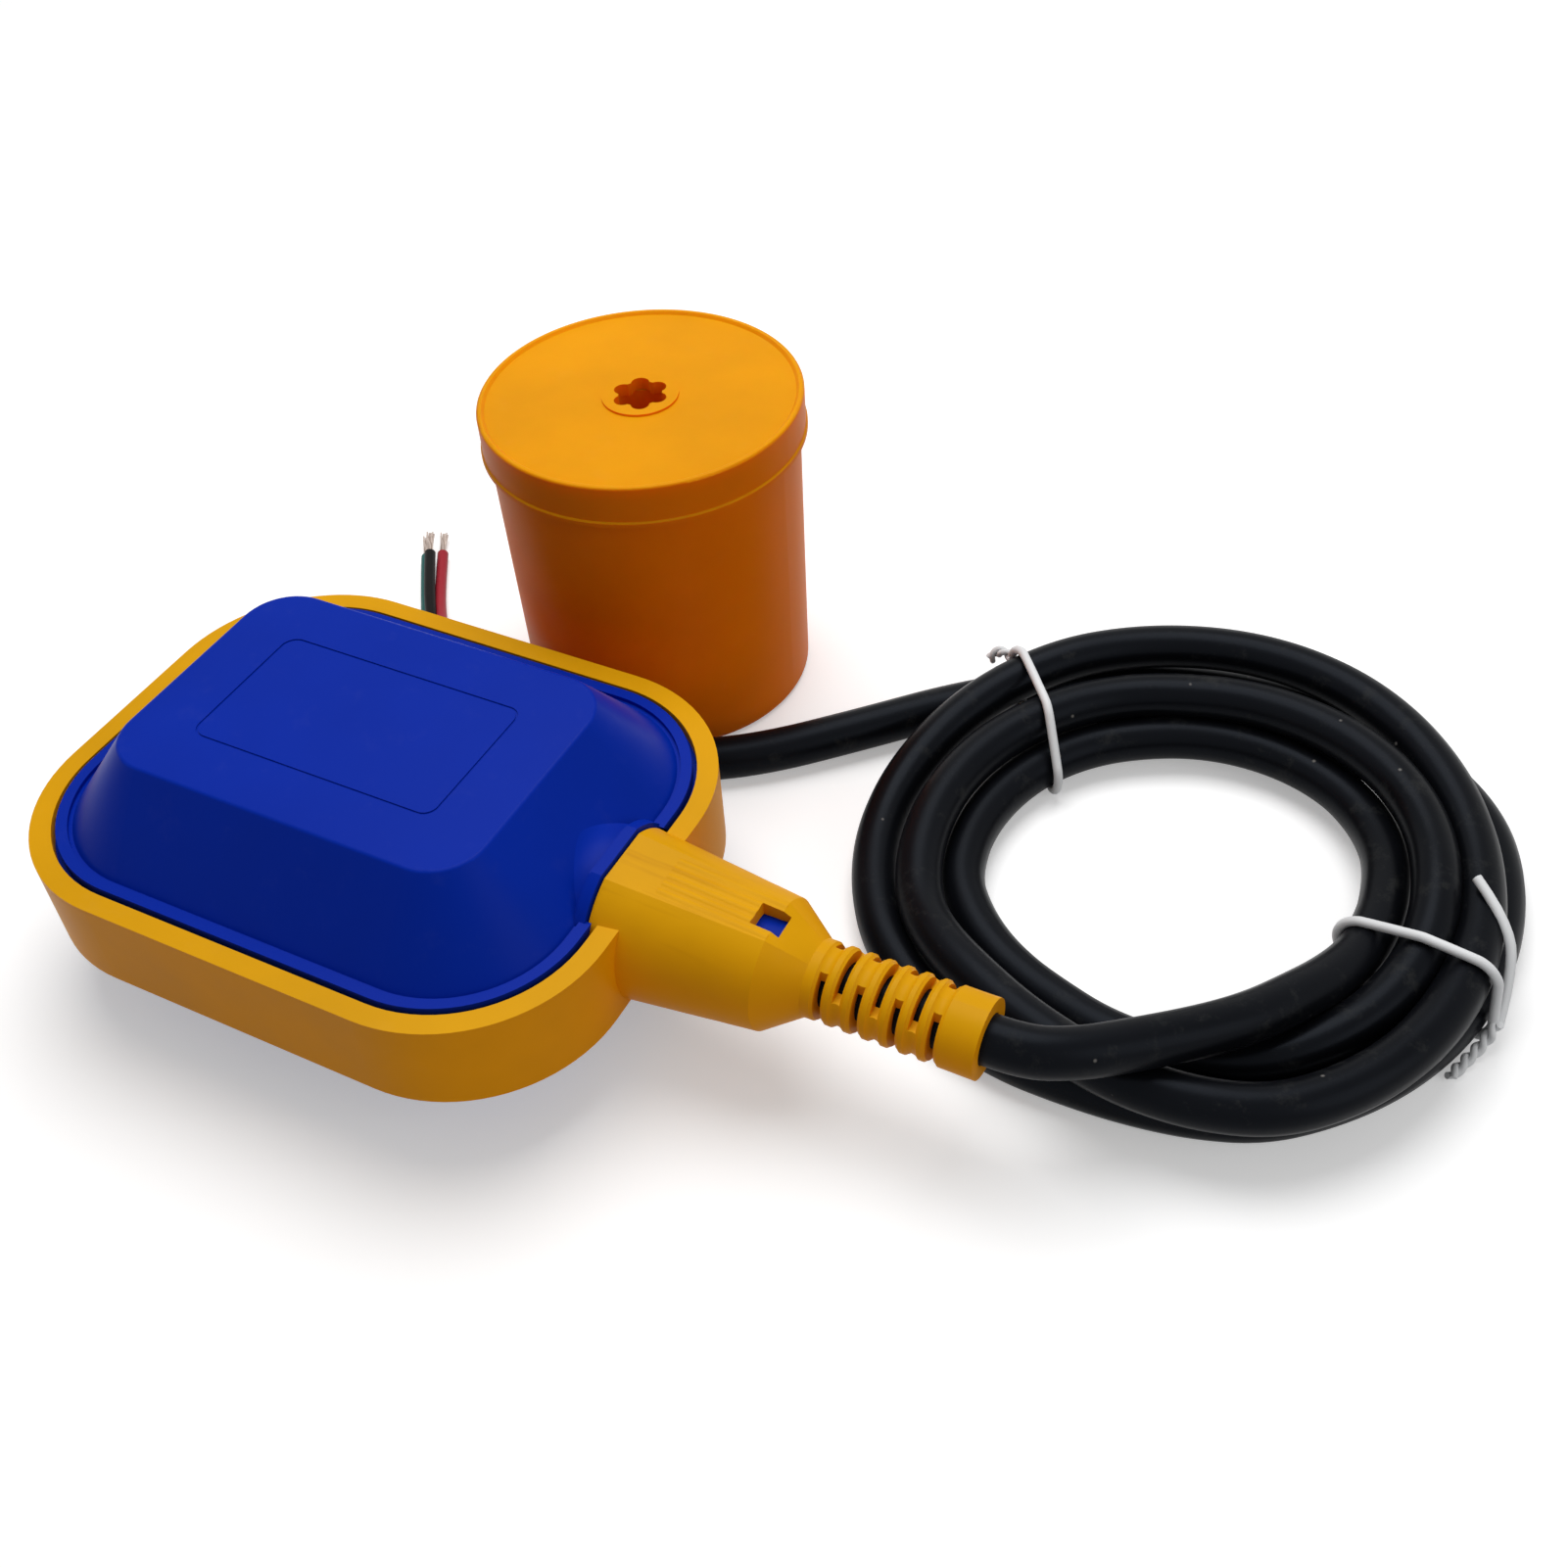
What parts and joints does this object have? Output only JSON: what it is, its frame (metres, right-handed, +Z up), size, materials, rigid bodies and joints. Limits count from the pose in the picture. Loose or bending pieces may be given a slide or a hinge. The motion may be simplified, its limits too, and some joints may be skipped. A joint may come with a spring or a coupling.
{
  "type": "cable float switch",
  "caption": "Hollow float with a ball-operated switch inside, on a coiled cable with a sliding counterweight and stripped cores at the free end.",
  "frame": {"origin": "on the surface that the part stands on, under the middle of the box that holds the float and the counterweight", "axes": "+X along the float's neck towards the cable, +Y from the float to the counterweight, +Z up"},
  "size_m": [0.2356, 0.1546, 0.0594],
  "materials": {
    "yellow_moulding": "smooth moulded plastic, satin",
    "blue_shell": "smooth moulded plastic, semi-gloss",
    "orange_moulding": "smooth moulded plastic, satin",
    "cable_jacket": "extruded rubber, semi-matt",
    "core_black": "extruded insulation",
    "core_red": "extruded insulation",
    "core_green": "extruded insulation",
    "copper_strands": "bare twisted strands",
    "tie_plastic": "plastic-coated wire",
    "seal_rubber": "moulded rubber",
    "inner_plastic": "moulded plastic",
    "switch_plastic": "moulded plastic",
    "button_plastic": "moulded plastic",
    "spring_steel": "rolled strip",
    "screw_steel": "zinc plated",
    "terminal_brass": "stamped, plain",
    "ball_steel": "polished",
    "ballast_iron": "as cast"
  },
  "bodies": {
    "housing": {"surround": "yellow_moulding", "upper_shell": "blue_shell", "lower_shell": "blue_shell", "cable_grommet": "seal_rubber", "cable_clamp": "inner_plastic", "clamp_screws": "screw_steel", "switch_screws": "screw_steel", "cable_in_neck": "cable_jacket", "inner_core_black": "core_black", "inner_core_red": "core_red", "inner_core_green": "core_green", "switch_case": "switch_plastic", "switch_cover": "switch_plastic", "lever_pin": "screw_steel", "terminal_common": "terminal_brass", "terminal_closed": "terminal_brass", "terminal_open": "terminal_brass", "ball_trough": "inner_plastic", "weight_cup": "orange_moulding", "weight_lid": "orange_moulding", "weight_ballast": "ballast_iron", "cable_lead": "cable_jacket", "cable_coil": "cable_jacket", "cable_tail": "cable_jacket", "core_black": "core_black", "core_red": "core_red", "core_green": "core_green", "strands_black": "copper_strands", "strands_red": "copper_strands", "strands_green": "copper_strands", "tie_back": "tie_plastic", "tie_front": "tie_plastic"},
    "steel_ball": {"steel_ball": "ball_steel"},
    "switch_lever": {"switch_lever": "spring_steel"},
    "switch_button": {"switch_button": "button_plastic"}
  },
  "joints": [
    {"name": "ball_roll", "type": "slide", "parent": "housing", "child": "steel_ball", "axis": [1, 0, 0], "range_m": [0, 0.01464]},
    {"name": "lever_hinge", "type": "hinge", "parent": "housing", "child": "switch_lever", "pos_m": [-0.0248, -0.0212, 0.0113], "axis": [0, 0, 1], "range_deg": [0, 6], "stiffness_Nm_per_rad": 0.02},
    {"name": "button_press", "type": "slide", "parent": "housing", "child": "switch_button", "axis": [1, 0, 0], "range_m": [0, 0.00064]}
  ],
  "couplings": [
    {"joint": "button_press", "follows": "lever_hinge", "m_per_rad": 0.006}
  ]
}
